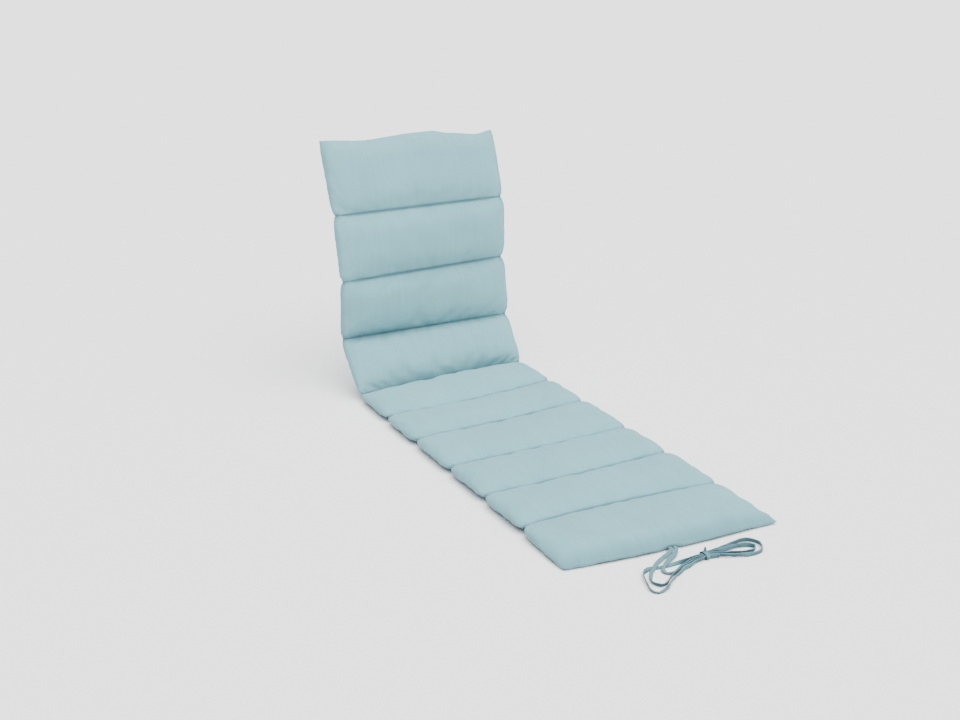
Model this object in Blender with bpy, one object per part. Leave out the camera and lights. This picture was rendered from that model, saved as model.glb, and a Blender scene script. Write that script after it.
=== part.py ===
"""Sun lounger cushion with ten sewn channels and a pair of tying strips.

Two cloth panels, a face and a back, meet in a sewn edge all round and are quilted together along nine
seams across. Each channel is crowned between its seams, and the ends of the seams draw the sides in.
The cushion lies as on a lounger whose back is raised: six channels on the floor, one that climbs, and
three that stand. Two strips are sewn into the foot edge and lie gathered in a hank beside it.

X runs across the cushion, +Y from foot to head and +Z up. The origin is on the floor, under the middle
of the cushion's box.
"""

from collections import namedtuple
import math

import bmesh
import bpy
import numpy as np
from mathutils import Matrix, Vector

# The cushion, in metres
WIDTH = 0.556              # from side to side, at a seam
SEAM_HALF = 0.0035         # half of the thickness where the panels are quilted together
EDGE_HEIGHT = 0.021        # the sewn edge over the floor, where the cushion lies flat
FOOT_EDGE_HEIGHT = 0.007   # the same at the foot, where the last channel rolls down to the floor
BACK_PANEL_EXTRA = 0.003   # how much fuller the back panel is cut than the face
SIDE_ROUNDING = 9.0        # power of the curve that closes the thickness towards the sides
END_ROUNDING = 6.0         # the same towards the head and foot edges
SEAM_BLEND = 0.18          # share of a channel over which its lean turns into its neighbour's
CORNER_EAR = 0.012         # how far the right foot corner stands out past the edges
MERGE = 0.00001            # distance below which two points are one

# The channels from head to foot. The slope is in degrees from the floor, the crown is half of the
# filled thickness, and the swells are how far the sides stand out between two seams.
Channel = namedtuple("Channel", "length slope crown swell_left swell_right")
CHANNELS = (
    Channel(0.2165, 68.9, 0.0235, 0.004, 0.006),
    Channel(0.1940, 83.8, 0.0245, 0.003, 0.010),
    Channel(0.1850, 88.1, 0.0245, 0.003, 0.009),
    Channel(0.1780, 49.8, 0.0225, 0.005, 0.004),
    Channel(0.1870, 0.0, 0.0215, 0.006, 0.001),
    Channel(0.1880, 0.0, 0.0220, 0.008, 0.002),
    Channel(0.2160, 0.0, 0.0225, 0.007, 0.005),
    Channel(0.1890, 0.0, 0.0225, 0.005, 0.004),
    Channel(0.2050, 0.0, 0.0230, 0.006, 0.006),
    Channel(0.2015, 0.0, 0.0230, 0.006, 0.005),
)

# The seams from the head edge to the foot edge. The skew is how much nearer to the head the right end
# lies, and the left end the opposite. The bow moves the seam's middle towards the head.
Seam = namedtuple("Seam", "skew bow")
SEAMS = (
    Seam(-0.016, 0.000),
    Seam(-0.008, 0.000),
    Seam(0.010, 0.000),
    Seam(-0.012, 0.000),
    Seam(0.008, 0.010),
    Seam(0.010, -0.018),
    Seam(0.008, -0.010),
    Seam(-0.004, -0.004),
    Seam(-0.002, -0.008),
    Seam(-0.016, 0.014),
    Seam(-0.0235, -0.0145),
)

# How the head edge rises and dips from left to right
EdgeWave = namedtuple("EdgeWave", "across rise")
HEAD_WAVE = (
    EdgeWave(-1.00, 0.008),
    EdgeWave(-0.50, -0.001),
    EdgeWave(0.05, 0.008),
    EdgeWave(0.28, 0.009),
    EdgeWave(0.50, -0.002),
    EdgeWave(0.82, -0.013),
    EdgeWave(1.00, -0.005),
)

# The mesh of each panel
COLUMNS = 24               # faces across
ROWS = 8                   # faces along each channel
COLUMN_CROWDING = 0.85     # 0 spaces the columns evenly, 1 crowds them fully towards the sides

# The tying strips. Each is a narrow cloth tape, folded and stitched, that stands on its edge in the
# hank. Their places are measured from the middle of the foot edge's straight line, on the floor.
STRIP_WIDTH = 0.010
STRIP_HALF_THICKNESS = 0.001
STRAND_HALF_THICKNESS = 0.002    # of the hank's strands, each a pair of strips side by side
LEAD_SPACING = 0.009             # between the sections of a lead
STRAND_SPACING = 0.012           # between the sections of a strand

# Each lead from the foot edge to the hank. The tilt is in degrees: 90 lies flat and 0 stands on edge.
LeadPoint = namedtuple("LeadPoint", "x y z tilt")
LEADS = {
    "tie_lead_right": (
        LeadPoint(0.0000, -0.0148, 0.0085, 90),
        LeadPoint(-0.0002, -0.0220, 0.0092, 88),
        LeadPoint(-0.0050, -0.0300, 0.0085, 70),
        LeadPoint(-0.0170, -0.0400, 0.0072, 45),
        LeadPoint(-0.0330, -0.0490, 0.0062, 20),
        LeadPoint(-0.0490, -0.0580, 0.0058, 5),
        LeadPoint(-0.0632, -0.0674, 0.0058, 0),
    ),
    "tie_lead_left": (
        LeadPoint(-0.0130, -0.0137, 0.0085, 90),
        LeadPoint(-0.0132, -0.0210, 0.0092, 88),
        LeadPoint(-0.0200, -0.0270, 0.0085, 70),
        LeadPoint(-0.0350, -0.0340, 0.0072, 45),
        LeadPoint(-0.0520, -0.0410, 0.0062, 20),
        LeadPoint(-0.0700, -0.0500, 0.0058, 5),
        LeadPoint(-0.0893, -0.0620, 0.0058, 0),
    ),
}

# The hank's two strands, each a long closed loop, drawn together in the middle by a band
StrandPoint = namedtuple("StrandPoint", "x y z")
OUTER_STRAND = (
    StrandPoint(-0.154, -0.149, 0.0056),
    StrandPoint(-0.150, -0.116, 0.0056),
    StrandPoint(-0.131, -0.077, 0.0058),
    StrandPoint(-0.104, -0.063, 0.0064),
    StrandPoint(-0.076, -0.069, 0.0072),
    StrandPoint(-0.040, -0.072, 0.0074),
    StrandPoint(0.005, -0.069, 0.0068),
    StrandPoint(0.040, -0.067, 0.0066),
    StrandPoint(0.090, -0.067, 0.0070),
    StrandPoint(0.135, -0.060, 0.0066),
    StrandPoint(0.172, -0.059, 0.0060),
    StrandPoint(0.191, -0.080, 0.0056),
    StrandPoint(0.187, -0.110, 0.0056),
    StrandPoint(0.168, -0.125, 0.0056),
    StrandPoint(0.138, -0.125, 0.0056),
    StrandPoint(0.098, -0.111, 0.0058),
    StrandPoint(0.060, -0.096, 0.0064),
    StrandPoint(0.040, -0.088, 0.0066),
    StrandPoint(-0.012, -0.094, 0.0062),
    StrandPoint(-0.055, -0.113, 0.0056),
    StrandPoint(-0.098, -0.138, 0.0056),
    StrandPoint(-0.134, -0.155, 0.0056),
)
INNER_STRAND = (
    StrandPoint(-0.134, -0.132, 0.0056),
    StrandPoint(-0.134, -0.110, 0.0056),
    StrandPoint(-0.118, -0.086, 0.0058),
    StrandPoint(-0.094, -0.080, 0.0066),
    StrandPoint(-0.066, -0.087, 0.0072),
    StrandPoint(-0.032, -0.084, 0.0070),
    StrandPoint(0.004, -0.077, 0.0066),
    StrandPoint(0.040, -0.0745, 0.0066),
    StrandPoint(0.080, -0.079, 0.0068),
    StrandPoint(0.124, -0.079, 0.0064),
    StrandPoint(0.156, -0.083, 0.0058),
    StrandPoint(0.170, -0.102, 0.0056),
    StrandPoint(0.160, -0.114, 0.0056),
    StrandPoint(0.134, -0.113, 0.0056),
    StrandPoint(0.102, -0.099, 0.0058),
    StrandPoint(0.066, -0.086, 0.0064),
    StrandPoint(0.040, -0.0815, 0.0066),
    StrandPoint(0.002, -0.085, 0.0062),
    StrandPoint(-0.040, -0.096, 0.0056),
    StrandPoint(-0.080, -0.116, 0.0056),
    StrandPoint(-0.112, -0.138, 0.0056),
)
BAND_PLACE = Vector((0.040, -0.0778, 0.0073))
BAND_LENGTH = 0.012
BAND_HALF_WIDTH = 0.0145
BAND_HALF_HEIGHT = 0.0070
BAND_SIDES = 16
TIP_PLACE = Vector((0.043, -0.0740, 0.0180))    # the band's own end, which stands up
TIP_RADIUS = 0.0045
TIP_HEIGHT = 0.012
TIP_FLATNESS = 0.45

FABRIC_COLOUR = (0.418, 0.565, 0.600, 1.0)
TIE_COLOUR = (0.385, 0.530, 0.565, 1.0)


def smooth_step(value):
    """Go from 0 to 1 with level ends."""
    value = min(max(value, 0.0), 1.0)
    return value * value * (3.0 - 2.0 * value)


def side_profile():
    """Return y and z of each seam from the head edge to the foot edge, worked out from the foot."""
    y, z = 0.0, EDGE_HEIGHT
    points = [(y, FOOT_EDGE_HEIGHT)]
    for channel in reversed(CHANNELS):
        slope = math.radians(channel.slope)
        y += channel.length * math.cos(slope)
        z += channel.length * math.sin(slope)
        points.append((y, z))
    return points[::-1]


PROFILE = side_profile()


def head_wave(across):
    """Read the head edge's rise, with a smooth step from one row of the table to the next."""
    for low, high in zip(HEAD_WAVE, HEAD_WAVE[1:]):
        if across <= high.across:
            part = smooth_step((across - low.across) / (high.across - low.across))
            return low.rise + part * (high.rise - low.rise)
    return HEAD_WAVE[-1].rise


def seam_point(index, across):
    """Return the middle of the thickness on one seam, for across from -1 at the left to 1."""
    y, z = PROFILE[index]
    seam = SEAMS[index]
    x = across * WIDTH / 2
    y += seam.skew * across + seam.bow * (1.0 - across * across)
    if index == 0:
        z += head_wave(across)
    if index == len(CHANNELS):
        ear = CORNER_EAR * max(across, 0.0) ** 8
        x += ear
        y -= ear / 3
    return Vector((x, y, z))


def lean_at(index, part):
    """Return the channel's slope, turned near each seam to the mean with its neighbour's."""
    own = CHANNELS[index].slope
    before = CHANNELS[max(index - 1, 0)].slope
    after = CHANNELS[min(index + 1, len(CHANNELS) - 1)].slope
    near_head = 1.0 - smooth_step(part / SEAM_BLEND)
    near_foot = 1.0 - smooth_step((1.0 - part) / SEAM_BLEND)
    slope = own + near_head * (before - own) / 2 + near_foot * (after - own) / 2
    return math.radians(slope)


def crown_at(index, part):
    """Return the share of a channel's fullness, from 0 on its seams to 1 in its middle."""
    place = abs(2.0 * part - 1.0)
    free_end = (index == 0 and part < 0.5) or (index == len(CHANNELS) - 1 and part > 0.5)
    if free_end:
        return math.sqrt(1.0 - place ** END_ROUNDING)
    return (1.0 - place ** 3) ** 0.7


def cushion_point(across, along, side):
    """Return a point of the face (side 1) or the back (side -1), along being seams from the head."""
    index = min(int(along), len(CHANNELS) - 1)
    part = along - index
    channel = CHANNELS[index]
    middle = seam_point(index, across).lerp(seam_point(index + 1, across), part)

    swell = channel.swell_right if across > 0.0 else channel.swell_left
    swell *= 1.0 - abs(2.0 * part - 1.0) ** 2.5
    middle.x += math.copysign(swell * abs(across) ** 3, across)

    unevenness = 1.0 + 0.05 * math.sin(2.3 * across + 1.9 * index)
    fullness = channel.crown * unevenness
    if side < 0:
        fullness += BACK_PANEL_EXTRA
    at_edge = (index == 0 and part == 0.0) or along == len(CHANNELS)
    least = 0.0 if at_edge else SEAM_HALF
    crown = crown_at(index, part)
    closing = math.sqrt(max(1.0 - abs(across) ** SIDE_ROUNDING, 0.0))
    half = (least * (1.0 - crown) + fullness * crown) * closing

    lean = lean_at(index, part)
    point = middle + Vector((0.0, -math.sin(lean), math.cos(lean))) * half * side
    if side < 0:
        point.z = max(point.z, 0.0)
    return point


def column_place(share):
    """Turn an even place from -1 to 1 into one that crowds towards the sides."""
    crowded = math.sin(share * math.pi / 2)
    return share + COLUMN_CROWDING * (crowded - share)


def row_place(share):
    """Turn an even place from -1 at the head to 1 at the foot into channels, crowded at the seams."""
    along = (share + 1.0) / 2 * len(CHANNELS)
    index = min(int(along + MERGE), len(CHANNELS) - 1)
    part = along - index
    return index + 0.5 - 0.5 * math.cos(math.pi * part)


def add_panel(mesh, side, shift):
    """Add one panel of the cushion as a grid, with each point put in its place."""
    grid = bmesh.ops.create_grid(
        mesh, x_segments=COLUMNS, y_segments=ROWS * len(CHANNELS), size=1.0)
    for vertex in grid["verts"]:
        across = column_place(vertex.co.x)
        along = row_place(-vertex.co.y)
        vertex.co = cushion_point(across, along, side) + shift


def cushion_shift():
    """Return the move that brings the cushion's box over the origin."""
    steps = np.linspace(-1.0, 1.0, COLUMNS + 1)
    rows = np.linspace(-1.0, 1.0, ROWS * len(CHANNELS) + 1)
    points = [
        cushion_point(column_place(x), row_place(y), side)
        for side in (-1, 1) for x in steps for y in rows
    ]
    low = np.min(points, axis=0)
    high = np.max(points, axis=0)
    return Vector((-(low[0] + high[0]) / 2, -(low[1] + high[1]) / 2, 0.0))


SHIFT = cushion_shift()


def fabric(name, colour, roughness):
    """Return a cloth material."""
    material = bpy.data.materials.new(name)
    material.use_nodes = True
    shader = material.node_tree.nodes["Principled BSDF"]
    shader.inputs["Base Color"].default_value = colour
    shader.inputs["Roughness"].default_value = roughness
    shader.inputs["Metallic"].default_value = 0.0
    material.diffuse_color = colour
    return material


def mesh_object(name, mesh, material, collection):
    """Turn a bmesh into an object of the collection."""
    data = bpy.data.meshes.new(name)
    mesh.to_mesh(data)
    mesh.free()
    data.materials.append(material)
    data.shade_smooth()
    data.set_sharp_from_angle(angle=math.radians(50))
    thing = bpy.data.objects.new(name, data)
    collection.objects.link(thing)
    return thing


def make_cushion(collection):
    """Sew the two panels together along their edge."""
    mesh = bmesh.new()
    add_panel(mesh, 1, SHIFT)
    add_panel(mesh, -1, SHIFT)
    bmesh.ops.remove_doubles(mesh, verts=mesh.verts, dist=MERGE)
    bmesh.ops.recalc_face_normals(mesh, faces=mesh.faces)
    cloth = fabric("cushion_cloth", FABRIC_COLOUR, 0.85)
    return mesh_object("cushion", mesh, cloth, collection)


def smooth_route(points, spacing, closed):
    """Read a smooth curve through the points (Catmull-Rom) about every spacing metres."""
    rows = [np.array(point, dtype=float) for point in points]
    count = len(rows)
    spans = count if closed else count - 1
    route = []
    for index in range(spans):
        if closed:
            before, start, end, after = (rows[(index + step) % count] for step in (-1, 0, 1, 2))
        else:
            before, start, end, after = (
                rows[min(max(index + step, 0), count - 1)] for step in (-1, 0, 1, 2))
        steps = max(1, round(float(np.linalg.norm((end - start)[:3])) / spacing))
        for step in range(steps):
            part = step / steps
            route.append(0.5 * (
                2 * start
                + (end - before) * part
                + (2 * before - 5 * start + 4 * end - after) * part ** 2
                + (3 * start - before - 3 * end + after) * part ** 3
            ))
    if not closed:
        route.append(rows[-1])
    return route


def add_tape(name, route, half_thickness, closed, collection):
    """Add a flat tape along a route, as a curve whose section stands on its edge at no tilt."""
    curve = bpy.data.curves.new(name, "CURVE")
    curve.dimensions = "3D"
    curve.twist_mode = "Z_UP"
    curve.extrude = STRIP_WIDTH / 2 - half_thickness
    curve.bevel_depth = half_thickness
    curve.bevel_resolution = 0
    curve.use_fill_caps = True
    spline = curve.splines.new("POLY")
    spline.points.add(len(route) - 1)
    spline.use_cyclic_u = closed
    for point, place in zip(spline.points, route):
        point.co = (*(Vector(place[:3]) + SHIFT), 1.0)
        if len(place) > 3:
            point.tilt = math.radians(place[3])
    thing = bpy.data.objects.new(name, curve)
    collection.objects.link(thing)
    return thing


def as_mesh(thing, collection):
    """Swap a curve object for a closed mesh object with the same name and place."""
    name = thing.name
    graph = bpy.context.evaluated_depsgraph_get()
    data = bpy.data.meshes.new_from_object(thing.evaluated_get(graph))
    mesh = bmesh.new()
    mesh.from_mesh(data)
    bmesh.ops.remove_doubles(mesh, verts=mesh.verts, dist=MERGE)
    bmesh.ops.recalc_face_normals(mesh, faces=mesh.faces)
    mesh.to_mesh(data)
    mesh.free()
    place = thing.matrix_world.copy()
    bpy.data.objects.remove(thing, do_unlink=True)
    solid = bpy.data.objects.new(name, data)
    solid.name = name
    solid.matrix_world = place
    collection.objects.link(solid)
    return solid


def add_cone(name, place, radii, height, sides, scale, turn, collection):
    """Add a cone or cylinder, scaled and turned in its mesh."""
    mesh = bmesh.new()
    bmesh.ops.create_cone(
        mesh, cap_ends=True, segments=sides, radius1=radii[0], radius2=radii[1], depth=height)
    bmesh.ops.scale(mesh, vec=scale, verts=mesh.verts)
    bmesh.ops.rotate(mesh, matrix=turn, verts=mesh.verts)
    bmesh.ops.translate(mesh, vec=place + SHIFT, verts=mesh.verts)
    data = bpy.data.meshes.new(name)
    mesh.to_mesh(data)
    mesh.free()
    thing = bpy.data.objects.new(name, data)
    collection.objects.link(thing)
    return thing


def make_leads(collection, cloth):
    """Lay the stretch of each strip that runs free from the foot edge to the hank."""
    for name, points in LEADS.items():
        route = smooth_route(points, LEAD_SPACING, closed=False)
        lead = as_mesh(add_tape(name, route, STRIP_HALF_THICKNESS, False, collection), collection)
        lead.data.materials.append(cloth)


def make_hank(collection, cutters, cloth):
    """Join the two strands, the band round them and its end into one solid."""
    strands = []
    for name, points, home in (
            ("tie_hank", OUTER_STRAND, collection), ("inner_strand", INNER_STRAND, cutters)):
        route = smooth_route(points, STRAND_SPACING, closed=True)
        strands.append(as_mesh(
            add_tape(name, route, STRAND_HALF_THICKNESS, True, home), home))
    hank, inner = strands
    along_x = Matrix.Rotation(math.pi / 2, 3, "Y")
    band = add_cone(
        "band", BAND_PLACE, (1.0, 1.0), BAND_LENGTH, BAND_SIDES,
        (BAND_HALF_HEIGHT, BAND_HALF_WIDTH, 1.0), along_x, cutters)
    tip = add_cone(
        "band_end", TIP_PLACE, (TIP_RADIUS, TIP_RADIUS / 6), TIP_HEIGHT, 8,
        (1.0, TIP_FLATNESS, 1.0), Matrix.Rotation(math.radians(12), 3, "X"), cutters)
    for other in (inner, band, tip):
        other.hide_render = True
        other.display_type = "WIRE"
        union = hank.modifiers.new(other.name, "BOOLEAN")
        union.operation = "UNION"
        union.object = other
    hank.data.materials.append(cloth)


def main():
    for thing in list(bpy.data.objects):
        bpy.data.objects.remove(thing, do_unlink=True)
    collection = bpy.data.collections.new("sun_lounger_cushion")
    bpy.context.scene.collection.children.link(collection)
    cutters = bpy.data.collections.new("joined_shapes")
    bpy.context.scene.collection.children.link(cutters)
    make_cushion(collection)
    tape = fabric("tie_tape", TIE_COLOUR, 0.85)
    make_leads(collection, tape)
    make_hank(collection, cutters, tape)


main()
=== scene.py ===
"""Sun lounger cushion: the finished cloth, sewing and ties around the part's fixed frame.

The cushion is two cloth panels sewn together at their edge and quilted along nine seams. Its cover is
a two-panel mesh that is blown up by a cloth simulation while the seams hold it, then creased.
The two ties are flat tapes that run from the foot edge into a hank on the floor. Everything is in
metres, with +Y from the foot to the head and the floor at z = 0.
"""

from collections import namedtuple
import math

import bmesh
import bpy
from mathutils import Matrix, Vector, noise
from mathutils.bvhtree import BVHTree
import numpy as np


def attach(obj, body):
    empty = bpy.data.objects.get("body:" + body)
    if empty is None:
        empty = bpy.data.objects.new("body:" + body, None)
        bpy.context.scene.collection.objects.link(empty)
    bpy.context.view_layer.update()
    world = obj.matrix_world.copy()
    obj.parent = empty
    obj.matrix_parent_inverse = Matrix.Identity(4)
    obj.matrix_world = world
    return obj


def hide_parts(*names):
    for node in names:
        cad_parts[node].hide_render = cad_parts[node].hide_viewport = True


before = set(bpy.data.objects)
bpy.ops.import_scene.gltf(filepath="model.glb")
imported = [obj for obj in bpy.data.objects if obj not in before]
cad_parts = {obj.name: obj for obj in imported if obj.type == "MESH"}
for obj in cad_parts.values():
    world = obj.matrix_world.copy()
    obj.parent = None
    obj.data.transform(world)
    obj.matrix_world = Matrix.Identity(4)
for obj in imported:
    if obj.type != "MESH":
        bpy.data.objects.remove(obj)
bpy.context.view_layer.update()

bl_info = {
    "name": "Sun Lounger Cushion",
    "version": (1, 0, 0),
    "blender": (4, 5, 0),
    "location": "3D View > Sidebar > Cushion",
    "description": "Models a channel-quilted lounger cushion with its tying tapes and a plain stage",
    "category": "Object",
}

BODY = "root"

# The cushion's own sizes, in metres
WIDTH = 0.556
SEAM_HALF = 0.0018
EDGE_HEIGHT = 0.021
FOOT_EDGE_HEIGHT = 0.007
BACK_PANEL_EXTRA = 0.003
SIDE_ROUNDING = 9.0
HEAD_ROUNDING = 6.0
FOOT_ROUNDING = 9.0
SEAM_BLEND = 0.18
CROWN_ROUNDING = 2.7
SEAM_STEEPNESS = 0.46      # lower makes the cover drop more steeply into a seam
CORNER_EAR = 0.016
NOTCH_DEPTH = 0.009        # how far the stitching draws in each seam's end
NOTCH_REACH = 0.010
BEND = 4.5                 # channels from the head to where the seat lies flat
PAINTED_SHADE_TINT = (0.30, 0.38, 0.42, 1.0)     # painted shade: the tint that shaded cloth is multiplied towards
CREVICE_REACH = 0.045      # how near other cloth or the floor must be for the occlusion node to paint shade
# How far the painted shade reaches from each quilted seam, in metres
SEAM_SHADE_REACH = 0.0028
LIP = 0.0018               # how far the turned edge seam stands out
LIP_REACH = 0.003
DIMPLE_ACROSS = -0.02      # where the ties are sewn in, and pull the foot edge up
DIMPLE_REACH = 0.018
DIMPLE_RISE = 0.008
DIMPLE_PULL = 0.004
MERGE = 0.00001
# The move from the foot edge's own frame to the part's, as the part's source makes it
SHIFT = Vector((-0.00257, -0.70162, 0.0))
RIM = 0.9995               # how far across counts as the edge seam
SEAM_SHARE = 0.97          # how much of the width each quilted seam runs
STITCH_SHARE = 0.72        # how much of its pitch each stitch takes

Channel = namedtuple("Channel", "length slope crown swell_left swell_right")
CHANNELS = (
    Channel(0.2165, 68.9, 0.0235, 0.004, 0.006),
    Channel(0.1940, 83.8, 0.0245, 0.003, 0.010),
    Channel(0.1850, 88.1, 0.0245, 0.003, 0.009),
    Channel(0.1780, 49.8, 0.0225, 0.005, 0.004),
    Channel(0.1870, 0.0, 0.0215, 0.006, 0.001),
    Channel(0.1880, 0.0, 0.0220, 0.008, 0.002),
    Channel(0.2160, 0.0, 0.0225, 0.007, 0.005),
    Channel(0.1890, 0.0, 0.0225, 0.005, 0.004),
    Channel(0.2050, 0.0, 0.0230, 0.006, 0.006),
    Channel(0.2015, 0.0, 0.0230, 0.006, 0.002),
)
LAST = len(CHANNELS)

Seam = namedtuple("Seam", "skew bow")
SEAMS = (
    Seam(-0.016, 0.000),
    Seam(-0.008, 0.000),
    Seam(0.010, 0.000),
    Seam(-0.012, 0.000),
    Seam(0.008, 0.010),
    Seam(0.010, -0.018),
    Seam(0.008, -0.010),
    Seam(-0.004, -0.004),
    Seam(-0.002, -0.008),
    Seam(-0.016, 0.014),
    Seam(-0.0235, -0.0145),
)

EdgeWave = namedtuple("EdgeWave", "across rise")
HEAD_WAVE = (
    EdgeWave(-1.00, 0.008),
    EdgeWave(-0.50, -0.001),
    EdgeWave(0.05, 0.008),
    EdgeWave(0.28, 0.009),
    EdgeWave(0.50, -0.002),
    EdgeWave(0.82, -0.013),
    EdgeWave(1.00, -0.005),
)

# Creases given one by one. Each runs from one point to another, across from -1 to 1 and along in
# channels from the head, with its half width and depth in metres; a negative depth is a ridge.
Crease = namedtuple("Crease", "across_1 along_1 across_2 along_2 half_width depth")
CREASES = (
    Crease(-1.00, 0.52, -0.86, 0.74, 0.005, 0.0022),
    Crease(-1.00, 0.60, -0.90, 0.84, 0.004, 0.0018),
    Crease(-1.00, 0.12, -0.93, 0.22, 0.005, 0.0018),
    Crease(-0.95, 1.86, -0.80, 1.70, 0.005, 0.0015),
    Crease(-0.95, 2.14, -0.82, 2.28, 0.005, 0.0015),
    Crease(0.97, 3.12, 0.84, 3.34, 0.006, 0.0014),
    Crease(-0.12, 9.98, -0.18, 9.66, 0.006, 0.0016),
    Crease(-0.03, 9.98, -0.02, 9.62, 0.005, 0.0020),
    Crease(0.06, 9.97, 0.12, 9.70, 0.006, 0.0014),
    Crease(-0.30, 9.98, -0.34, 9.74, 0.007, 0.0010),
    Crease(0.55, 0.03, 0.50, 0.30, 0.008, 0.0012),
    Crease(0.86, 0.02, 0.78, 0.22, 0.007, 0.0014),
)

# The mesh of each panel before its one subdivision
COLUMNS = 54
ROWS = 22
COLUMN_CROWDING = 0.8
ROW_CROWDING = 0.78

# The tapes. Places are measured from the middle of the foot edge's straight line, on the floor. The
# tilt is in degrees: 90 lies flat and 0 stands on edge.
TapePoint = namedtuple("TapePoint", "x y z tilt")
RIGHT_TAPE = (
    TapePoint(0.0000, -0.0090, 0.0105, 90),
    TapePoint(0.0000, -0.0148, 0.0098, 90),
    TapePoint(-0.0002, -0.0220, 0.0098, 85),
    TapePoint(-0.0050, -0.0300, 0.0088, 70),
    TapePoint(-0.0170, -0.0400, 0.0078, 60),
    TapePoint(-0.0330, -0.0490, 0.0070, 58),
    TapePoint(-0.0490, -0.0580, 0.0062, 68),
    TapePoint(-0.0640, -0.0680, 0.0058, 80),
    TapePoint(-0.0780, -0.0790, 0.0048, 82),
    TapePoint(-0.0850, -0.0890, 0.0038, 80),
    TapePoint(-0.0820, -0.0985, 0.0034, 72),
    TapePoint(-0.0700, -0.1020, 0.0038, 60),
    TapePoint(-0.0500, -0.0965, 0.0050, 35),
    TapePoint(-0.0200, -0.0860, 0.0058, 12),
    TapePoint(0.0100, -0.0795, 0.0060, 0),
    TapePoint(0.0400, -0.0779, 0.0060, 0),
    TapePoint(0.0680, -0.0825, 0.0060, 8),
    TapePoint(0.1020, -0.0960, 0.0060, 14),
    TapePoint(0.1340, -0.1090, 0.0059, 10),
    TapePoint(0.1580, -0.1100, 0.0058, 4),
    TapePoint(0.1700, -0.0990, 0.0058, 0),
    TapePoint(0.1620, -0.0850, 0.0060, 6),
    TapePoint(0.1360, -0.0775, 0.0062, 14),
    TapePoint(0.1000, -0.0755, 0.0062, 8),
    TapePoint(0.0700, -0.0738, 0.0060, 0),
    TapePoint(0.0400, -0.0737, 0.0060, 0),
    TapePoint(0.0050, -0.0725, 0.0058, 8),
    TapePoint(-0.0300, -0.0725, 0.0042, 45),
    TapePoint(-0.0600, -0.0705, 0.0020, 82),
    TapePoint(-0.0860, -0.0655, 0.0015, 90),
    TapePoint(-0.1080, -0.0635, 0.0032, 62),
    TapePoint(-0.1310, -0.0770, 0.0056, 20),
    TapePoint(-0.1440, -0.1000, 0.0061, 6),
    TapePoint(-0.1530, -0.1270, 0.0054, 28),
    TapePoint(-0.1560, -0.1470, 0.0038, 58),
    TapePoint(-0.1450, -0.1580, 0.0028, 74),
    TapePoint(-0.1220, -0.1520, 0.0034, 64),
    TapePoint(-0.0950, -0.1350, 0.0050, 30),
    TapePoint(-0.0550, -0.1120, 0.0056, 16),
    TapePoint(-0.0100, -0.0950, 0.0060, 4),
    TapePoint(0.0200, -0.0885, 0.0060, 0),
    TapePoint(0.0400, -0.0863, 0.0060, 0),
    TapePoint(0.0560, -0.0890, 0.0058, 6),
    TapePoint(0.0700, -0.0950, 0.0056, 14),
)
LEFT_TAPE = (
    TapePoint(-0.0130, -0.0080, 0.0105, 90),
    TapePoint(-0.0130, -0.0137, 0.0098, 90),
    TapePoint(-0.0132, -0.0210, 0.0098, 85),
    TapePoint(-0.0200, -0.0270, 0.0088, 70),
    TapePoint(-0.0350, -0.0340, 0.0078, 60),
    TapePoint(-0.0520, -0.0410, 0.0070, 58),
    TapePoint(-0.0700, -0.0500, 0.0062, 68),
    TapePoint(-0.0890, -0.0615, 0.0052, 82),
    TapePoint(-0.1060, -0.0755, 0.0040, 74),
    TapePoint(-0.1200, -0.0890, 0.0042, 50),
    TapePoint(-0.1310, -0.1060, 0.0050, 30),
    TapePoint(-0.1340, -0.1260, 0.0054, 22),
    TapePoint(-0.1260, -0.1390, 0.0056, 16),
    TapePoint(-0.1080, -0.1360, 0.0056, 14),
    TapePoint(-0.0780, -0.1150, 0.0057, 10),
    TapePoint(-0.0450, -0.1010, 0.0058, 5),
    TapePoint(-0.0100, -0.0895, 0.0060, 0),
    TapePoint(0.0200, -0.0835, 0.0060, 0),
    TapePoint(0.0400, -0.0821, 0.0060, 0),
    TapePoint(0.0680, -0.0905, 0.0060, 4),
    TapePoint(0.1000, -0.1080, 0.0058, 8),
    TapePoint(0.1360, -0.1215, 0.0057, 6),
    TapePoint(0.1680, -0.1215, 0.0057, 0),
    TapePoint(0.1865, -0.1060, 0.0057, -4),
    TapePoint(0.1895, -0.0810, 0.0058, 0),
    TapePoint(0.1730, -0.0620, 0.0060, 8),
    TapePoint(0.1360, -0.0620, 0.0062, 14),
    TapePoint(0.1000, -0.0675, 0.0062, 8),
    TapePoint(0.0700, -0.0695, 0.0060, 0),
    TapePoint(0.0400, -0.0695, 0.0060, 0),
)
TAPE_ROUTE_STEP = 0.004
BAND_PLACE = (0.0400, -0.0779, 0.0068)
BAND_HALF_WIDTH = 0.0135
BAND_HALF_HEIGHT = 0.0064
BAND_TAB_HEIGHT = 0.015

# The camera that took the photograph, from its perspective. Angles are in degrees.
CAMERA_FROM_FOOT = (-1.695, -2.209, 1.503)
CAMERA_YAW = 28.25
CAMERA_PITCH = 20.55
CAMERA_ROLL = -0.19
FOCAL_LENGTH_PIXELS = 1317.5
FRAME_WIDTH_PIXELS = 960
SENSOR_WIDTH_MM = 36.0


# The light: a wide soft key from above the foot end, and an even white surround
TO_KEY = (0.05, -0.30, 0.95)
KEY_STRENGTH = 6.6
KEY_SOFTNESS = 75.0
SKY_STRENGTH = 0.62


def hex_colour(code):
    """Turn an sRGB hex value into linear red, green, blue and alpha."""
    parts = [int(code[place:place + 2], 16) / 255 for place in (0, 2, 4)]
    linear = [v / 12.92 if v <= 0.04045 else ((v + 0.055) / 1.055) ** 2.4 for v in parts]
    return (*linear, 1.0)


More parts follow.
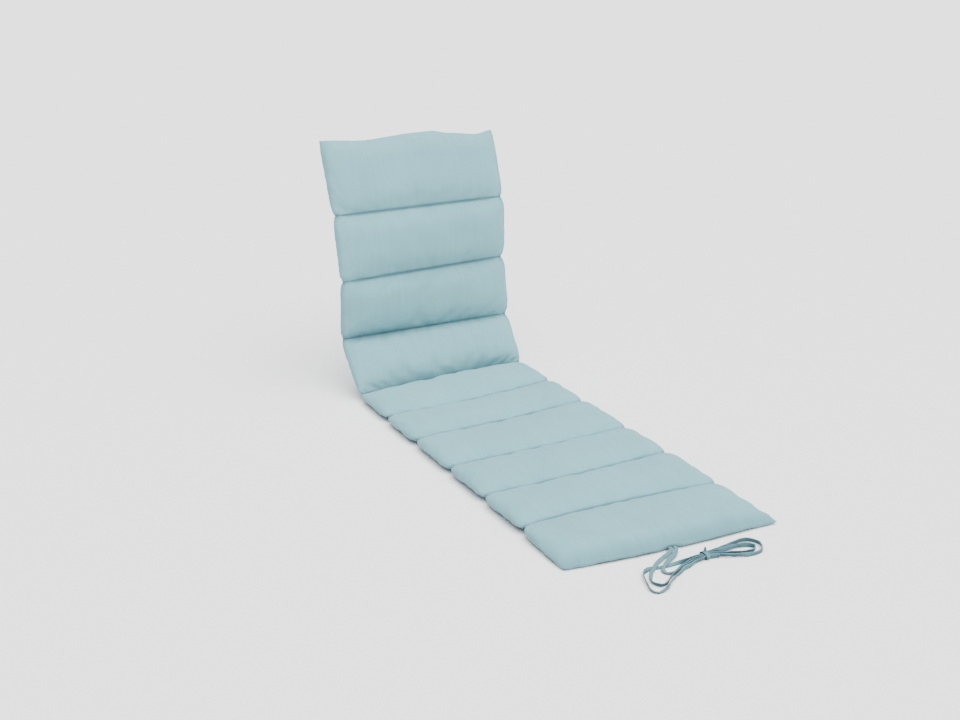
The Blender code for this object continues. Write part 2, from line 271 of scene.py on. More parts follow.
class CushionSettings(bpy.types.PropertyGroup):
    """Sizes and colours of the cushion that a user may change."""

    cloth_colour: bpy.props.FloatVectorProperty(
        name="Cloth colour", description="Colour of the woven cover", subtype="COLOR",
        size=4, min=0.0, max=1.0, default=hex_colour("7BAEB6"))
    tape_colour: bpy.props.FloatVectorProperty(
        name="Tape colour", description="Colour of the tying tapes", subtype="COLOR",
        size=4, min=0.0, max=1.0, default=hex_colour("5A858E"))
    thread_colour: bpy.props.FloatVectorProperty(
        name="Thread colour", description="Colour of the quilting thread", subtype="COLOR",
        size=4, min=0.0, max=1.0, default=hex_colour("6898A1"))
    floor_colour: bpy.props.FloatVectorProperty(
        name="Floor colour", description="Colour of the plain floor", subtype="COLOR",
        size=4, min=0.0, max=1.0, default=hex_colour("FDFDFD"))
    pressure: bpy.props.FloatProperty(
        name="Filling pressure", description="How hard the filling pushes the cover out",
        default=4.0, min=0.0, max=20.0)
    slack: bpy.props.FloatProperty(
        name="Cloth slack", description="Share by which the cloth is longer than its seams",
        default=0.02, min=0.0, max=0.1)
    swell_limit: bpy.props.FloatProperty(
        name="Swell limit", description="Farthest that a point of the cover may move",
        default=0.009, min=0.0, max=0.03, unit="LENGTH")
    thread_pitch: bpy.props.FloatProperty(
        name="Thread pitch", description="Spacing of the weave's threads as drawn",
        default=0.0012, min=0.0002, max=0.01, unit="LENGTH")
    stitch_pitch: bpy.props.FloatProperty(
        name="Stitch pitch", description="Spacing of the quilting stitches",
        default=0.0048, min=0.002, max=0.02, unit="LENGTH")
    stitch_radius: bpy.props.FloatProperty(
        name="Stitch radius", description="Half of the quilting thread's thickness",
        default=0.0005, min=0.0002, max=0.002, unit="LENGTH")
    tape_width: bpy.props.FloatProperty(
        name="Tape width", description="Width of the folded tying tape",
        default=0.010, min=0.004, max=0.03, unit="LENGTH")
    tape_thickness: bpy.props.FloatProperty(
        name="Tape thickness", description="Thickness of the folded tying tape",
        default=0.0026, min=0.001, max=0.005, unit="LENGTH")


def smooth_step(value):
    """Go from 0 to 1 with level ends."""
    value = min(max(value, 0.0), 1.0)
    return value * value * (3.0 - 2.0 * value)


def side_profile():
    """Return y and z of each seam from the head edge to the foot edge, worked out from the foot."""
    y, z = 0.0, EDGE_HEIGHT
    points = [(y, FOOT_EDGE_HEIGHT)]
    for channel in reversed(CHANNELS):
        slope = math.radians(channel.slope)
        y += channel.length * math.cos(slope)
        z += channel.length * math.sin(slope)
        points.append((y, z))
    return points[::-1]


PROFILE = side_profile()


def head_wave(across):
    """Read the head edge's rise, with a smooth step from one row of the table to the next."""
    for low, high in zip(HEAD_WAVE, HEAD_WAVE[1:]):
        if across <= high.across:
            part = smooth_step((across - low.across) / (high.across - low.across))
            return low.rise + part * (high.rise - low.rise)
    return HEAD_WAVE[-1].rise


def seam_point(index, across):
    """Return the middle of the thickness on one seam, for across from -1 at the left to 1."""
    y, z = PROFILE[index]
    seam = SEAMS[index]
    x = across * WIDTH / 2
    y += seam.skew * across + seam.bow * (1.0 - across * across)
    if index == 0:
        z += head_wave(across)
    if index == LAST:
        ear = CORNER_EAR * max(across, 0.0) ** 8
        x += ear
        y -= ear / 3
    return Vector((x, y, z))


def lean_at(index, part):
    """Return the channel's slope, turned near each seam to the mean with its neighbour's."""
    own = CHANNELS[index].slope
    before = CHANNELS[max(index - 1, 0)].slope
    after = CHANNELS[min(index + 1, LAST - 1)].slope
    near_head = 1.0 - smooth_step(part / SEAM_BLEND)
    near_foot = 1.0 - smooth_step((1.0 - part) / SEAM_BLEND)
    return math.radians(own + near_head * (before - own) / 2 + near_foot * (after - own) / 2)


def crown_at(index, part):
    """Return the share of a channel's fullness, from 0 on its seams to 1 in its middle."""
    place = abs(2.0 * part - 1.0)
    if index == 0 and part < 0.5:
        return math.sqrt(max(1.0 - place ** HEAD_ROUNDING, 0.0))
    if index == LAST - 1 and part > 0.5:
        return math.sqrt(max(1.0 - place ** FOOT_ROUNDING, 0.0))
    return max(1.0 - place ** CROWN_ROUNDING, 0.0) ** SEAM_STEEPNESS


def seam_distance(along):
    """Return how far a place lies from the nearest quilted seam, along the cloth."""
    nearest = min(max(round(along), 1), LAST - 1)
    index = min(int(along), LAST - 1)
    return abs(along - nearest) * CHANNELS[index].length


def cover_point(across, along, side, shift):
    """Return a point of the face (side 1) or the back (side -1) before the filling swells it."""
    index = min(int(along), LAST - 1)
    part = along - index
    channel = CHANNELS[index]
    middle = seam_point(index, across).lerp(seam_point(index + 1, across), part)

    swell = channel.swell_right if across > 0.0 else channel.swell_left
    swell *= 1.0 - abs(2.0 * part - 1.0) ** 4
    notch = NOTCH_DEPTH if along > BEND else NOTCH_DEPTH / 2
    swell -= notch * math.exp(-(seam_distance(along) / NOTCH_REACH) ** 2)
    from_side = (1.0 - abs(across)) * WIDTH / 2
    swell = swell * abs(across) ** 5 + LIP * math.exp(-(from_side / LIP_REACH) ** 2)
    middle.x += swell if across > 0.0 else -swell

    from_foot = (LAST - along) * CHANNELS[-1].length
    aside = (across - DIMPLE_ACROSS) * WIDTH / 2
    dimple = math.exp(-(aside / DIMPLE_REACH) ** 2 - (from_foot / (1.6 * DIMPLE_REACH)) ** 2)
    middle.z += DIMPLE_RISE * dimple
    middle.y += DIMPLE_PULL * dimple

    fullness = channel.crown * (1.0 + 0.05 * math.sin(2.3 * across + 1.9 * index))
    if side < 0:
        fullness += BACK_PANEL_EXTRA
    least = 0.0 if along in (0, LAST) else SEAM_HALF
    crown = crown_at(index, part)
    closing = math.sqrt(max(1.0 - abs(across) ** SIDE_ROUNDING, 0.0))
    half = (least * (1.0 - crown) + fullness * crown) * closing * (1.0 - 0.25 * dimple)

    lean = lean_at(index, part)
    point = middle + Vector((0.0, -math.sin(lean), math.cos(lean))) * half * side
    if side < 0:
        point.z = max(point.z, 0.0)
    return point + shift


def crowd(share, crowding):
    """Turn an even place from -1 to 1 into one that crowds towards both ends."""
    return share + crowding * (math.sin(share * math.pi / 2) - share)


def new_object(name, mesh):
    """Return an object of the scene that holds a mesh."""
    data = bpy.data.meshes.new(name)
    mesh.to_mesh(data)
    mesh.free()
    thing = bpy.data.objects.new(name, data)
    bpy.context.scene.collection.objects.link(thing)
    return thing


def only(thing):
    """Make one object the selected and active one."""
    bpy.ops.object.select_all(action="DESELECT")
    thing.select_set(True)
    bpy.context.view_layer.objects.active = thing


def finish_piece(thing, slot, *nodes):
    """Smooth a piece, let it ride on the part and hide the part's nodes that it replaces."""
    only(thing)
    bpy.ops.object.shade_smooth()
    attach(thing, BODY)
    if nodes:
        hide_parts(*nodes)


def cloth_lengths():
    """Return the cloth's running length at each seam, from the head edge."""
    lengths = [0.0]
    for channel in CHANNELS:
        lengths.append(lengths[-1] + channel.length)
    return lengths


def add_cover_mesh():
    """Sew two grids, the face and the back, into one closed mesh that knows its places."""
    mesh = bmesh.new()
    places = {key: mesh.verts.layers.float.new(key) for key in ("across", "along", "side")}
    weave = mesh.loops.layers.uv.new("weave")
    lengths = cloth_lengths()
    for side in (1, -1):
        grid = bmesh.ops.create_grid(mesh, x_segments=COLUMNS, y_segments=ROWS * LAST, size=1.0)
        for vertex in grid["verts"]:
            across = crowd(vertex.co.x, COLUMN_CROWDING)
            steps = (1.0 - vertex.co.y) / 2 * LAST
            index = min(int(steps + MERGE), LAST - 1)
            part = 0.5 + 0.5 * crowd(2.0 * (steps - index) - 1.0, ROW_CROWDING)
            along = index + min(max(part, 0.0), 1.0)
            if abs(along - round(along)) < MERGE:
                along = round(along)
            vertex[places["across"]] = across
            vertex[places["along"]] = along
            vertex[places["side"]] = side
            vertex.co = cover_point(across, along, side, SHIFT)
            for loop in vertex.link_loops:
                run = lengths[index] + (along - index) * CHANNELS[index].length
                loop[weave].uv = (across * WIDTH / 2, run)
    sharp = mesh.edges.layers.float.new("crease_edge")
    for edge in mesh.edges:
        rows = [vertex[places["along"]] for vertex in edge.verts]
        columns = [abs(vertex[places["across"]]) for vertex in edge.verts]
        if rows[0] == rows[1] and rows[0] in range(1, LAST):
            edge[sharp] = 0.9
        elif min(columns) > RIM or max(rows) == 0 or min(rows) == LAST:
            edge[sharp] = 0.7
    bmesh.ops.remove_doubles(mesh, verts=mesh.verts, dist=MERGE)
    bmesh.ops.recalc_face_normals(mesh, faces=mesh.faces)
    return new_object("cushion_cover", mesh)


def point_values(thing, key):
    """Read one value for each point of a mesh."""
    values = np.zeros(len(thing.data.vertices), dtype=np.float32)
    thing.data.attributes[key].data.foreach_get("value", values)
    return values


def point_places(data):
    """Read the points of a mesh as rows of x, y and z."""
    places = np.zeros(len(data.vertices) * 3, dtype=np.float32)
    data.vertices.foreach_get("co", places)
    return places.reshape(-1, 3).astype(float)


def swell_cover(cover, settings):
    """Blow the cover up with a cloth simulation, held at its seams, and cap how far it moves."""
    across = point_values(cover, "across")
    along = point_values(cover, "along")
    start = point_places(cover.data)
    on_seam = (np.abs(along - np.round(along)) < 0.001) & (along > 0.5) & (along < LAST - 0.5)
    on_edge = (np.abs(across) > RIM) | (along < 0.001) | (along > LAST - 0.001)
    held = cover.vertex_groups.new(name="held")
    held.add([int(i) for i in np.flatnonzero(on_seam | on_edge)], 1.0, "REPLACE")

    cloth = cover.modifiers.new("filling", "CLOTH")
    cloth.settings.quality = 5
    cloth.settings.mass = 0.3
    cloth.settings.air_damping = 2.0
    cloth.settings.tension_stiffness = 25.0
    cloth.settings.compression_stiffness = 25.0
    cloth.settings.shear_stiffness = 8.0
    cloth.settings.bending_stiffness = 0.4
    cloth.settings.use_pressure = True
    cloth.settings.uniform_pressure_force = settings.pressure
    cloth.settings.shrink_min = -settings.slack
    cloth.settings.vertex_group_mass = "held"
    cloth.settings.pin_stiffness = 1.0
    cloth.settings.effector_weights.gravity = 0.0
    cloth.collision_settings.use_collision = False
    scene = bpy.context.scene
    for step in range(1, 21):
        scene.frame_set(step)
    graph = bpy.context.evaluated_depsgraph_get()
    swollen = point_places(cover.evaluated_get(graph).data)
    cover.modifiers.remove(cloth)
    scene.frame_set(1)
    cover.vertex_groups.clear()

    moved = swollen - start
    lengths = np.linalg.norm(moved, axis=1, keepdims=True)
    capped = settings.swell_limit * np.tanh(lengths / settings.swell_limit)
    moved *= capped / np.maximum(lengths, 1e-9)
    final = start + moved
    cover.data.vertices.foreach_set("co", final.astype(np.float32).ravel())
    cover.data.update()


def crease_depth(crease, across, along):
    """Return how deep one crease is at a place, faded towards its ends."""
    scale = (WIDTH / 2, CHANNELS[min(int(crease.along_1), LAST - 1)].length)
    start = Vector((crease.across_1 * scale[0], crease.along_1 * scale[1]))
    end = Vector((crease.across_2 * scale[0], crease.along_2 * scale[1]))
    place = Vector((across * scale[0], along * scale[1]))
    run = end - start
    part = (place - start).dot(run) / run.length_squared
    if not -0.15 < part < 1.15:
        return 0.0
    aside = (place - start - run * part).length
    ends = smooth_step((part + 0.15) / 0.3) * smooth_step((1.15 - part) / 0.6)
    return crease.depth * ends * math.exp(-(aside / crease.half_width) ** 2)


def crease_cover(cover):
    """Add the cloth's own unevenness: soft waves, gathers along the seams, and the listed creases."""
    across = point_values(cover, "across").tolist()
    along = point_values(cover, "along").tolist()
    sides = point_values(cover, "side").tolist()
    waves = []
    for a, b, s in zip(across, along, sides):
        x = a * WIDTH / 2
        run = b * 0.19
        distance = seam_distance(b)
        wave = noise.noise(Vector((x * 9.0, run * 13.0, 3.0 * s))) * 0.0012
        wave += noise.noise(Vector((x * 30.0, run * 30.0, 7.0 + s))) * 0.00035
        gather = noise.noise(Vector((x * 95.0, round(b) * 3.1, 11.0 + s)))
        wave += gather * 0.0006 * math.exp(-(distance / 0.016) ** 2) * min(distance / 0.004, 1.0)
        from_side = (1.0 - abs(a)) * WIDTH / 2
        gather = noise.noise(Vector((run * 85.0, math.copysign(5.0, a), 17.0)))
        wave += gather * 0.0010 * math.exp(-(from_side / 0.018) ** 2)
        crumple = noise.noise(Vector((x * 130.0, run * 130.0, 23.0 + s)))
        wave += crumple * 0.0030 * math.exp(-(distance / 0.016) ** 2 - (from_side / 0.020) ** 2)
        if s > 0:
            for crease in CREASES:
                if abs(b - crease.along_1) < 0.6:
                    wave -= crease_depth(crease, a, b)
        waves.append(wave)
    normals = np.zeros(len(waves) * 3, dtype=np.float32)
    cover.data.vertex_normals.foreach_get("vector", normals)
    final = point_places(cover.data) + normals.reshape(-1, 3) * np.array(waves)[:, None]
    final[:, 2] = np.maximum(final[:, 2], 0.0)
    cover.data.vertices.foreach_set("co", final.astype(np.float32).ravel())
    cover.data.update()


def shade_seams(cover):
    """Keep painted shade in an attribute, from 0 to 1: seams, their ends, the rim and the foot edge's
    front.
    """
    painted_shade = cover.data.attributes.new("painted_shade", "FLOAT", "POINT")
    across = point_values(cover, "across").tolist()
    along = point_values(cover, "along").tolist()
    values = []
    for a, b in zip(across, along):
        # Painted shade: darker in each seam, at the seams' ends by the sides, along the rim and over
        # the front of the foot edge
        seam = math.exp(-(seam_distance(b) / SEAM_SHADE_REACH) ** 2)
        from_side = (1.0 - abs(a)) * WIDTH / 2
        pinch = math.exp(-(seam_distance(b) / 0.009) ** 2 - (from_side / 0.013) ** 2)
        rim = 0.35 * math.exp(-(from_side / 0.007) ** 2)
        rim = max(rim, 0.42 * smooth_step((b - LAST + 0.26) / 0.26) ** 1.5)
        values.append(max(seam * (1.0 - 0.6 * abs(a) ** 6), 0.85 * pinch, rim))
    painted_shade.data.foreach_set("value", values)


def add_node(tree, kind, place, settings=None, inputs=None, links=None):
    """Add one shader node with its settings, input values and links from other nodes' sockets."""
    node = tree.nodes.new(kind)
    node.location = place
    for key, value in (settings or {}).items():
        setattr(node, key, value)
    for key, value in (inputs or {}).items():
        node.inputs[key].default_value = value
    for key, socket in (links or {}).items():
        tree.links.new(socket, node.inputs[key])
    return node


def woven_cloth(name, colour, pitch, uv_map, crevice_gain=1.3):
    """Solution-dyed outdoor cloth in a plain weave: matt, with a soft sheen at grazing angles.

    The real threads are about 0.5 mm apart. They are drawn at the given pitch, coarser than that, so
    that they still show as a fine grain from the photograph's distance.
    """
    material = bpy.data.materials.new(name)
    material.use_nodes = True
    tree = material.node_tree
    tree.nodes.clear()
    places = add_node(tree, "ShaderNodeTexCoord", (-1500, 0))
    if uv_map:
        cloth_place = add_node(
            tree, "ShaderNodeUVMap", (-1500, 250), {"uv_map": uv_map}).outputs["UV"]
    else:
        cloth_place = places.outputs["Object"]
    scaled = add_node(
        tree, "ShaderNodeMapping", (-1300, 250), inputs={"Scale": (1 / pitch,) * 3},
        links={"Vector": cloth_place})
    warp = add_node(
        tree, "ShaderNodeTexWave", (-1050, 350),
        {"wave_type": "BANDS", "bands_direction": "X", "wave_profile": "SIN"},
        {"Scale": 0.314, "Distortion": 0.6, "Detail": 1.0, "Detail Scale": 0.4},
        {"Vector": scaled.outputs["Vector"]})
    weft = add_node(
        tree, "ShaderNodeTexWave", (-1050, 50),
        {"wave_type": "BANDS", "bands_direction": "Y", "wave_profile": "SIN"},
        {"Scale": 0.314, "Distortion": 0.6, "Detail": 1.0, "Detail Scale": 0.4},
        {"Vector": scaled.outputs["Vector"]})
    threads = add_node(
        tree, "ShaderNodeMath", (-800, 200), {"operation": "MULTIPLY"},
        links={0: warp.outputs["Fac"], 1: weft.outputs["Fac"]})
    slubs = add_node(
        tree, "ShaderNodeTexNoise", (-1050, -250), inputs={"Scale": 260.0, "Detail": 3.0},
        links={"Vector": places.outputs["Object"]})
    clouds = add_node(
        tree, "ShaderNodeTexNoise", (-1050, -500), inputs={"Scale": 9.0, "Detail": 2.0},
        links={"Vector": places.outputs["Object"]})
    streaks = add_node(
        tree, "ShaderNodeTexNoise", (-1050, -700), inputs={"Scale": 1.0, "Detail": 3.0},
        links={"Vector": add_node(
            tree, "ShaderNodeMapping", (-1300, -700), inputs={"Scale": (95.0, 9.0, 95.0)},
            links={"Vector": cloth_place}).outputs["Vector"]})
    base = tuple(colour)
    dark = tuple(channel * 0.86 for channel in base[:3]) + (1.0,)
    light = tuple(min(channel * 1.07, 1.0) for channel in base[:3]) + (1.0,)
    clouded = add_node(
        tree, "ShaderNodeMix", (-750, -450), {"data_type": "RGBA"},
        {"A": dark, "B": light}, {"Factor": clouds.outputs["Fac"]})
    marks = add_node(
        tree, "ShaderNodeMath", (-750, -250), {"operation": "MULTIPLY_ADD"}, {1: 0.5},
        {0: slubs.outputs["Fac"], 2: add_node(
            tree, "ShaderNodeMath", (-850, -600), {"operation": "MULTIPLY"}, {1: 0.5},
            {0: streaks.outputs["Fac"]}).outputs["Value"]})
    flecked = add_node(
        tree, "ShaderNodeMix", (-500, -250), {"data_type": "RGBA", "blend_type": "OVERLAY"},
        {"Factor": 0.17}, {"A": clouded.outputs["Result"], "B": marks.outputs["Value"]})
    # Painted shade: the colour is darkened by the cover's shade attribute, and by the occlusion node
    # near other cloth or the floor
    shade_attribute = add_node(
        tree, "ShaderNodeAttribute", (-500, -650), {"attribute_name": "painted_shade"})
    crevice = add_node(
        tree, "ShaderNodeAmbientOcclusion", (-750, -750), {"samples": 8}, {"Distance": CREVICE_REACH})
    occlusion_shade = add_node(
        tree, "ShaderNodeMath", (-500, -850), {"operation": "MULTIPLY_ADD", "use_clamp": True},
        {1: -crevice_gain, 2: 0.85 * crevice_gain}, {0: crevice.outputs["AO"]})
    painted_shade_share = add_node(
        tree, "ShaderNodeMath", (-350, -650), {"operation": "MAXIMUM"},
        links={0: occlusion_shade.outputs["Value"], 1: shade_attribute.outputs["Fac"]})
    painted_shade = add_node(
        tree, "ShaderNodeMix", (-250, -350), {"data_type": "RGBA", "blend_type": "MULTIPLY"},
        {"B": PAINTED_SHADE_TINT}, {"Factor": painted_shade_share.outputs["Value"], "A": flecked.outputs["Result"]})
    grain = add_node(
        tree, "ShaderNodeMath", (-550, 100), {"operation": "MULTIPLY_ADD"}, {1: 0.5},
        {0: slubs.outputs["Fac"], 2: threads.outputs["Value"]})
    bump = add_node(
        tree, "ShaderNodeBump", (-300, 100), inputs={"Strength": 0.35, "Distance": 0.0003},
        links={"Height": grain.outputs["Value"]})
    shader = add_node(
        tree, "ShaderNodeBsdfPrincipled", (0, 0),
        inputs={"Roughness": 0.82, "Sheen Weight": 0.18, "Sheen Roughness": 0.45,
                "Specular IOR Level": 0.25},
        links={"Base Color": painted_shade.outputs["Result"], "Normal": bump.outputs["Normal"]})
    add_node(
        tree, "ShaderNodeOutputMaterial", (300, 0), links={"Surface": shader.outputs["BSDF"]})
    return material


def spun_thread(name, colour):
    """Bonded polyester sewing thread: smoother and a little glossier than the cloth around it."""
    material = bpy.data.materials.new(name)
    material.use_nodes = True
    tree = material.node_tree
    shader = tree.nodes["Principled BSDF"]
    places = add_node(tree, "ShaderNodeTexCoord", (-700, 0))
    twist = add_node(
        tree, "ShaderNodeTexNoise", (-500, 0), inputs={"Scale": 900.0, "Detail": 2.0},
        links={"Vector": places.outputs["Object"]})
    tones = add_node(
        tree, "ShaderNodeMix", (-250, 0), {"data_type": "RGBA"},
        {"A": tuple(c * 0.85 for c in colour[:3]) + (1.0,), "B": tuple(colour)},
        {"Factor": twist.outputs["Fac"]})
    tree.links.new(tones.outputs["Result"], shader.inputs["Base Color"])
    shader.inputs["Roughness"].default_value = 0.5
    return material


def smooth_route(points, step):
    """Read a smooth curve through the points (Catmull-Rom) about every step metres."""
    rows = [np.array(point, dtype=float) for point in points]
    route = []
    for index in range(len(rows) - 1):
        before, start, end, after = (
            rows[min(max(index + offset, 0), len(rows) - 1)] for offset in (-1, 0, 1, 2))
        count = max(1, round(float(np.linalg.norm((end - start)[:3])) / step))
        for number in range(count):
            part = number / count
            route.append(0.5 * (
                2 * start
                + (end - before) * part
                + (2 * before - 5 * start + 4 * end - after) * part ** 2
                + (3 * start - before - 3 * end + after) * part ** 3
            ))
    route.append(rows[-1])
    return route


def lay_tape(name, points, settings):
    """Lay a flat folded tape along its route. Return the piece and its middle line."""
    half = settings.tape_thickness / 2
    route = smooth_route(points, TAPE_ROUTE_STEP)
    curve = bpy.data.curves.new(name, "CURVE")
    curve.dimensions = "3D"
    curve.twist_mode = "Z_UP"
    curve.extrude = settings.tape_width / 2 - half
    curve.bevel_depth = half
    curve.bevel_resolution = 3
    curve.use_fill_caps = True
    spline = curve.splines.new("POLY")
    spline.points.add(len(route) - 1)
    line = []
    for point, place in zip(spline.points, route):
        middle = Vector(place[:3]) + SHIFT
        line.append(tuple(middle))
        point.co = (*middle, 1.0)
        twist = 45.0 * noise.noise(middle * 28.0) * (1.0 - abs(place[3]) / 90.0)
        point.tilt = math.radians(place[3] + twist)
    tape = bpy.data.objects.new(name, curve)
    bpy.context.scene.collection.objects.link(tape)
    only(tape)
    bpy.ops.object.convert(target="MESH")
    tape = bpy.context.view_layer.objects.active
    mesh = bmesh.new()
    mesh.from_mesh(tape.data)
    bmesh.ops.remove_doubles(mesh, verts=mesh.verts, dist=MERGE)
    bmesh.ops.recalc_face_normals(mesh, faces=mesh.faces)
    for vertex in mesh.verts:
        rumple = noise.noise_vector(vertex.co * 45.0) * 0.0020
        rumple += noise.noise_vector(vertex.co * 170.0) * 0.0005
        vertex.co += rumple
        vertex.co.z = max(vertex.co.z, 0.0001)
    mesh.to_mesh(tape.data)
    mesh.free()
    return tape, line


class CUSHION_OT_cover(bpy.types.Operator):
    """Model the quilted cover, swell it with its filling and crease it"""

    bl_idname = "cushion.cover"
    bl_label = "Quilted Cover"

    def execute(self, context):
        settings = context.scene.cushion
        cover = add_cover_mesh()
        swell_cover(cover, settings)
        only(cover)
        finer = cover.modifiers.new("finer", "SUBSURF")
        finer.levels = 1
        finer.render_levels = 1
        bpy.ops.object.modifier_apply(modifier=finer.name)
        crease_cover(cover)
        shade_seams(cover)
        cover.data.materials.append(
            woven_cloth("plain_woven_cover", settings.cloth_colour, settings.thread_pitch, "weave"))
        finish_piece(cover, "cushion_cloth", "cushion")
        return {"FINISHED"}


class CUSHION_OT_stitches(bpy.types.Operator):
    """Sew the quilting stitches along each seam, on the face and on the back"""

    bl_idname = "cushion.stitches"
    bl_label = "Quilting Stitches"

    def execute(self, context):
        settings = context.scene.cushion
        cover = bpy.data.objects["cushion_cover"]
        surface = BVHTree.FromObject(cover, context.evaluated_depsgraph_get())
        bpy.ops.object.select_all(action="DESELECT")
        bpy.ops.mesh.primitive_ico_sphere_add(subdivisions=1, radius=1.0)
        stitches = context.view_layer.objects.active
        stitches.name = "quilting_stitches"
        ball = [vertex.co.copy() for vertex in stitches.data.vertices]
        sides = [tuple(face.vertices) for face in stitches.data.polygons]
        points, faces = [], []
        count = int(WIDTH * SEAM_SHARE / settings.stitch_pitch)
        for index in range(1, LAST):
            for side in (1, -1):
                for number in range(count):
                    ends = []
                    for offset in (-STITCH_SHARE / 2, STITCH_SHARE / 2):
                        across = ((number + 0.5 + offset) / count * 2.0 - 1.0) * SEAM_SHARE
                        place, normal, _, _ = surface.find_nearest(
                            cover_point(across, index, side, SHIFT))
                        ends.append((place, normal))
                    faces += [tuple(len(points) + i for i in face) for face in sides]
                    points += self.stitch_points(ball, ends, settings.stitch_radius)
        stitches.data.clear_geometry()
        stitches.data.from_pydata(points, [], faces)
        stitches.data.materials.append(spun_thread("quilting_thread", settings.thread_colour))
        finish_piece(stitches, "cushion_cloth")
        return {"FINISHED"}

    def stitch_points(self, ball, ends, radius):
        """Stretch a ball into one stitch between two points that lie on the cloth."""
        (start, normal_1), (end, normal_2) = ends
        run = end - start
        aside = run.cross(normal_1 + normal_2).normalized()
        up = aside.cross(run).normalized()
        turn = Matrix((run.normalized(), aside, up)).transposed()
        stretch = Matrix.Diagonal((run.length / 2 + radius / 2, radius, radius * 0.8))
        middle = (start + end) / 2 + up * radius * 0.3
        places = [middle + turn @ (stretch @ point) for point in ball]
        return [(point.x, point.y, max(point.z, 0.0)) for point in places]


class CUSHION_OT_ties(bpy.types.Operator):
    """Lay the two tying tapes from the foot edge into their hank, and wrap its band"""

    bl_idname = "cushion.ties"
    bl_label = "Tying Tapes"

    def execute(self, context):
        settings = context.scene.cushion
        # The tapes get a stronger painted shade from the occlusion node, dark between the strands of
        # the hank
        cloth = woven_cloth("folded_tape", settings.tape_colour, settings.thread_pitch * 0.8, None, 2.4)
        band = self.wrap_band(settings)
        band.data.materials.append(cloth)
        finish_piece(band, "tie_tape")
        for name, points, nodes, on_it in (
                ("tie_right", RIGHT_TAPE, ("tie_lead_right", "tie_hank"), []),
                ("tie_left", LEFT_TAPE, ("tie_lead_left",), [band])):
            tape, line = lay_tape(name, points, settings)
            tape.data.materials.append(cloth)
            finish_piece(tape, "tie_tape", *nodes)
        return {"FINISHED"}

    def wrap_band(self, settings):
        """Wrap a turn of tape round the hank, with its pointed end standing up."""
        place = Vector(BAND_PLACE) + SHIFT
        bpy.ops.object.select_all(action="DESELECT")
        bpy.ops.mesh.primitive_cylinder_add(
            vertices=32, radius=1.0, depth=settings.tape_width * 1.1, end_fill_type="NOTHING",
            location=place, rotation=(0.0, math.pi / 2, 0.0))
        band = bpy.context.view_layer.objects.active
        band.name = "tie_band"
        bpy.ops.object.transform_apply(location=True, rotation=True, scale=True)
        bpy.ops.object.mode_set(mode="EDIT")
        bpy.ops.mesh.select_all(action="SELECT")
        bpy.ops.mesh.subdivide(number_cuts=3)
        bpy.ops.object.mode_set(mode="OBJECT")
        for vertex in band.data.vertices:
            offset = vertex.co - place
            angle = math.atan2(offset.z, offset.y)
            bulge = 1.0 + 0.05 * math.cos(2.0 * offset.x / settings.tape_width * math.pi / 2)
            vertex.co.y = place.y + BAND_HALF_WIDTH * math.cos(angle) * bulge
            vertex.co.z = max(place.z + BAND_HALF_HEIGHT * math.sin(angle) * bulge, 0.0012)
            vertex.co.x += 0.0012 * math.sin(angle)
        tab = bmesh.new()
        tab.from_mesh(band.data)
        grid = bmesh.ops.create_grid(tab, x_segments=6, y_segments=8, size=0.5)
        for vertex in grid["verts"]:
            rise = vertex.co.y + 0.5
            narrow = 1.1 * (1.0 - rise * rise) ** 0.7 * settings.tape_width
            vertex.co = place + Vector((
                0.002 + vertex.co.x * narrow + 0.002 * rise,
                0.0035 + 0.003 * math.sin(rise * 2.2) + 0.0012 * math.cos(vertex.co.x * 5.0),
                BAND_HALF_HEIGHT - 0.002 + rise * BAND_TAB_HEIGHT))
        tab.to_mesh(band.data)
        tab.free()
        only(band)
        for name, kind, values in (
                ("cloth", "SOLIDIFY", {"thickness": 0.0014, "offset": 1.0}),
                ("soft", "SUBSURF", {"levels": 1, "render_levels": 1})):
            modifier = band.modifiers.new(name, kind)
            for key, value in values.items():
                setattr(modifier, key, value)
            bpy.ops.object.modifier_apply(modifier=name)
        return band


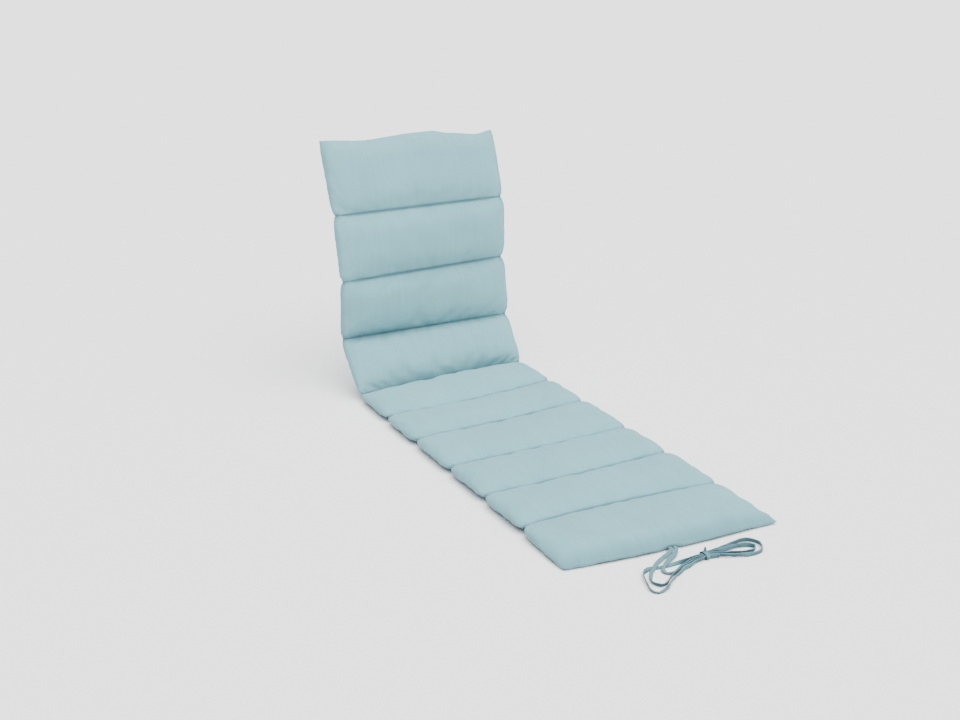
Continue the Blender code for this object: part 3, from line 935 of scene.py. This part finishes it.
class CUSHION_OT_stage(bpy.types.Operator):
    """Set the pale floor, the soft studio lights and the camera"""

    bl_idname = "cushion.stage"
    bl_label = "Stage"

    def execute(self, context):
        settings = context.scene.cushion
        bpy.ops.object.select_all(action="DESELECT")
        bpy.ops.mesh.primitive_plane_add(size=90.0, location=(0.0, 0.0, -0.0006))
        floor = context.view_layer.objects.active
        floor.name = "studio_floor"
        floor.data.materials.append(self.paper(settings.floor_colour))
        key = bpy.data.lights.new("key", "SUN")
        key.energy = KEY_STRENGTH
        key.angle = math.radians(KEY_SOFTNESS)
        lamp = bpy.data.objects.new("key", key)
        lamp.rotation_euler = Vector(TO_KEY).to_track_quat("Z", "Y").to_euler()
        context.scene.collection.objects.link(lamp)
        world = bpy.data.worlds.new("studio")
        context.scene.world = world
        world.use_nodes = True
        sky = world.node_tree.nodes["Background"]
        sky.inputs["Color"].default_value = (1.0, 1.0, 1.0, 1.0)
        sky.inputs["Strength"].default_value = SKY_STRENGTH
        self.camera(context)
        return {"FINISHED"}

    def paper(self, colour):
        """Matt white background paper."""
        material = bpy.data.materials.new("background_paper")
        material.use_nodes = True
        shader = material.node_tree.nodes["Principled BSDF"]
        shader.inputs["Base Color"].default_value = tuple(colour)
        shader.inputs["Roughness"].default_value = 0.9
        shader.inputs["Specular IOR Level"].default_value = 0.1
        return material

    def camera(self, context):
        """Put the camera where the photograph was taken."""
        yaw, pitch, roll = (math.radians(a) for a in (CAMERA_YAW, CAMERA_PITCH, CAMERA_ROLL))
        ahead = Vector((
            math.sin(yaw) * math.cos(pitch), math.cos(yaw) * math.cos(pitch), -math.sin(pitch)))
        right = Vector((math.cos(yaw), -math.sin(yaw), 0.0))
        up = right.cross(ahead)
        level = Matrix((right, up, -ahead)).transposed()
        data = bpy.data.cameras.new("camera")
        data.sensor_fit = "HORIZONTAL"
        data.sensor_width = SENSOR_WIDTH_MM
        data.lens = SENSOR_WIDTH_MM * FOCAL_LENGTH_PIXELS / FRAME_WIDTH_PIXELS
        data.dof.use_dof = False
        camera = bpy.data.objects.new("camera", data)
        camera.rotation_euler = (level @ Matrix.Rotation(roll, 3, "Z")).to_euler()
        camera.location = Vector(CAMERA_FROM_FOOT) + SHIFT
        context.scene.collection.objects.link(camera)
        context.scene.camera = camera


class CUSHION_PT_panel(bpy.types.Panel):
    """Sidebar panel with the cushion's settings and operators"""

    bl_idname = "CUSHION_PT_panel"
    bl_label = "Sun Lounger Cushion"
    bl_space_type = "VIEW_3D"
    bl_region_type = "UI"
    bl_category = "Cushion"

    def draw(self, context):
        for key in CushionSettings.__annotations__:
            self.layout.prop(context.scene.cushion, key)
        for operator in OPERATORS:
            self.layout.operator(operator.bl_idname)


OPERATORS = (CUSHION_OT_stage, CUSHION_OT_ties, CUSHION_OT_cover, CUSHION_OT_stitches)
CLASSES = (CushionSettings, *OPERATORS, CUSHION_PT_panel)


def register():
    for item in CLASSES:
        bpy.utils.register_class(item)
    bpy.types.Scene.cushion = bpy.props.PointerProperty(type=CushionSettings)


def unregister():
    del bpy.types.Scene.cushion
    for item in reversed(CLASSES):
        bpy.utils.unregister_class(item)


def main():
    register()
    bpy.ops.cushion.stage()
    bpy.ops.cushion.ties()
    bpy.ops.cushion.cover()
    bpy.ops.cushion.stitches()


if __name__ == "__main__":
    main()
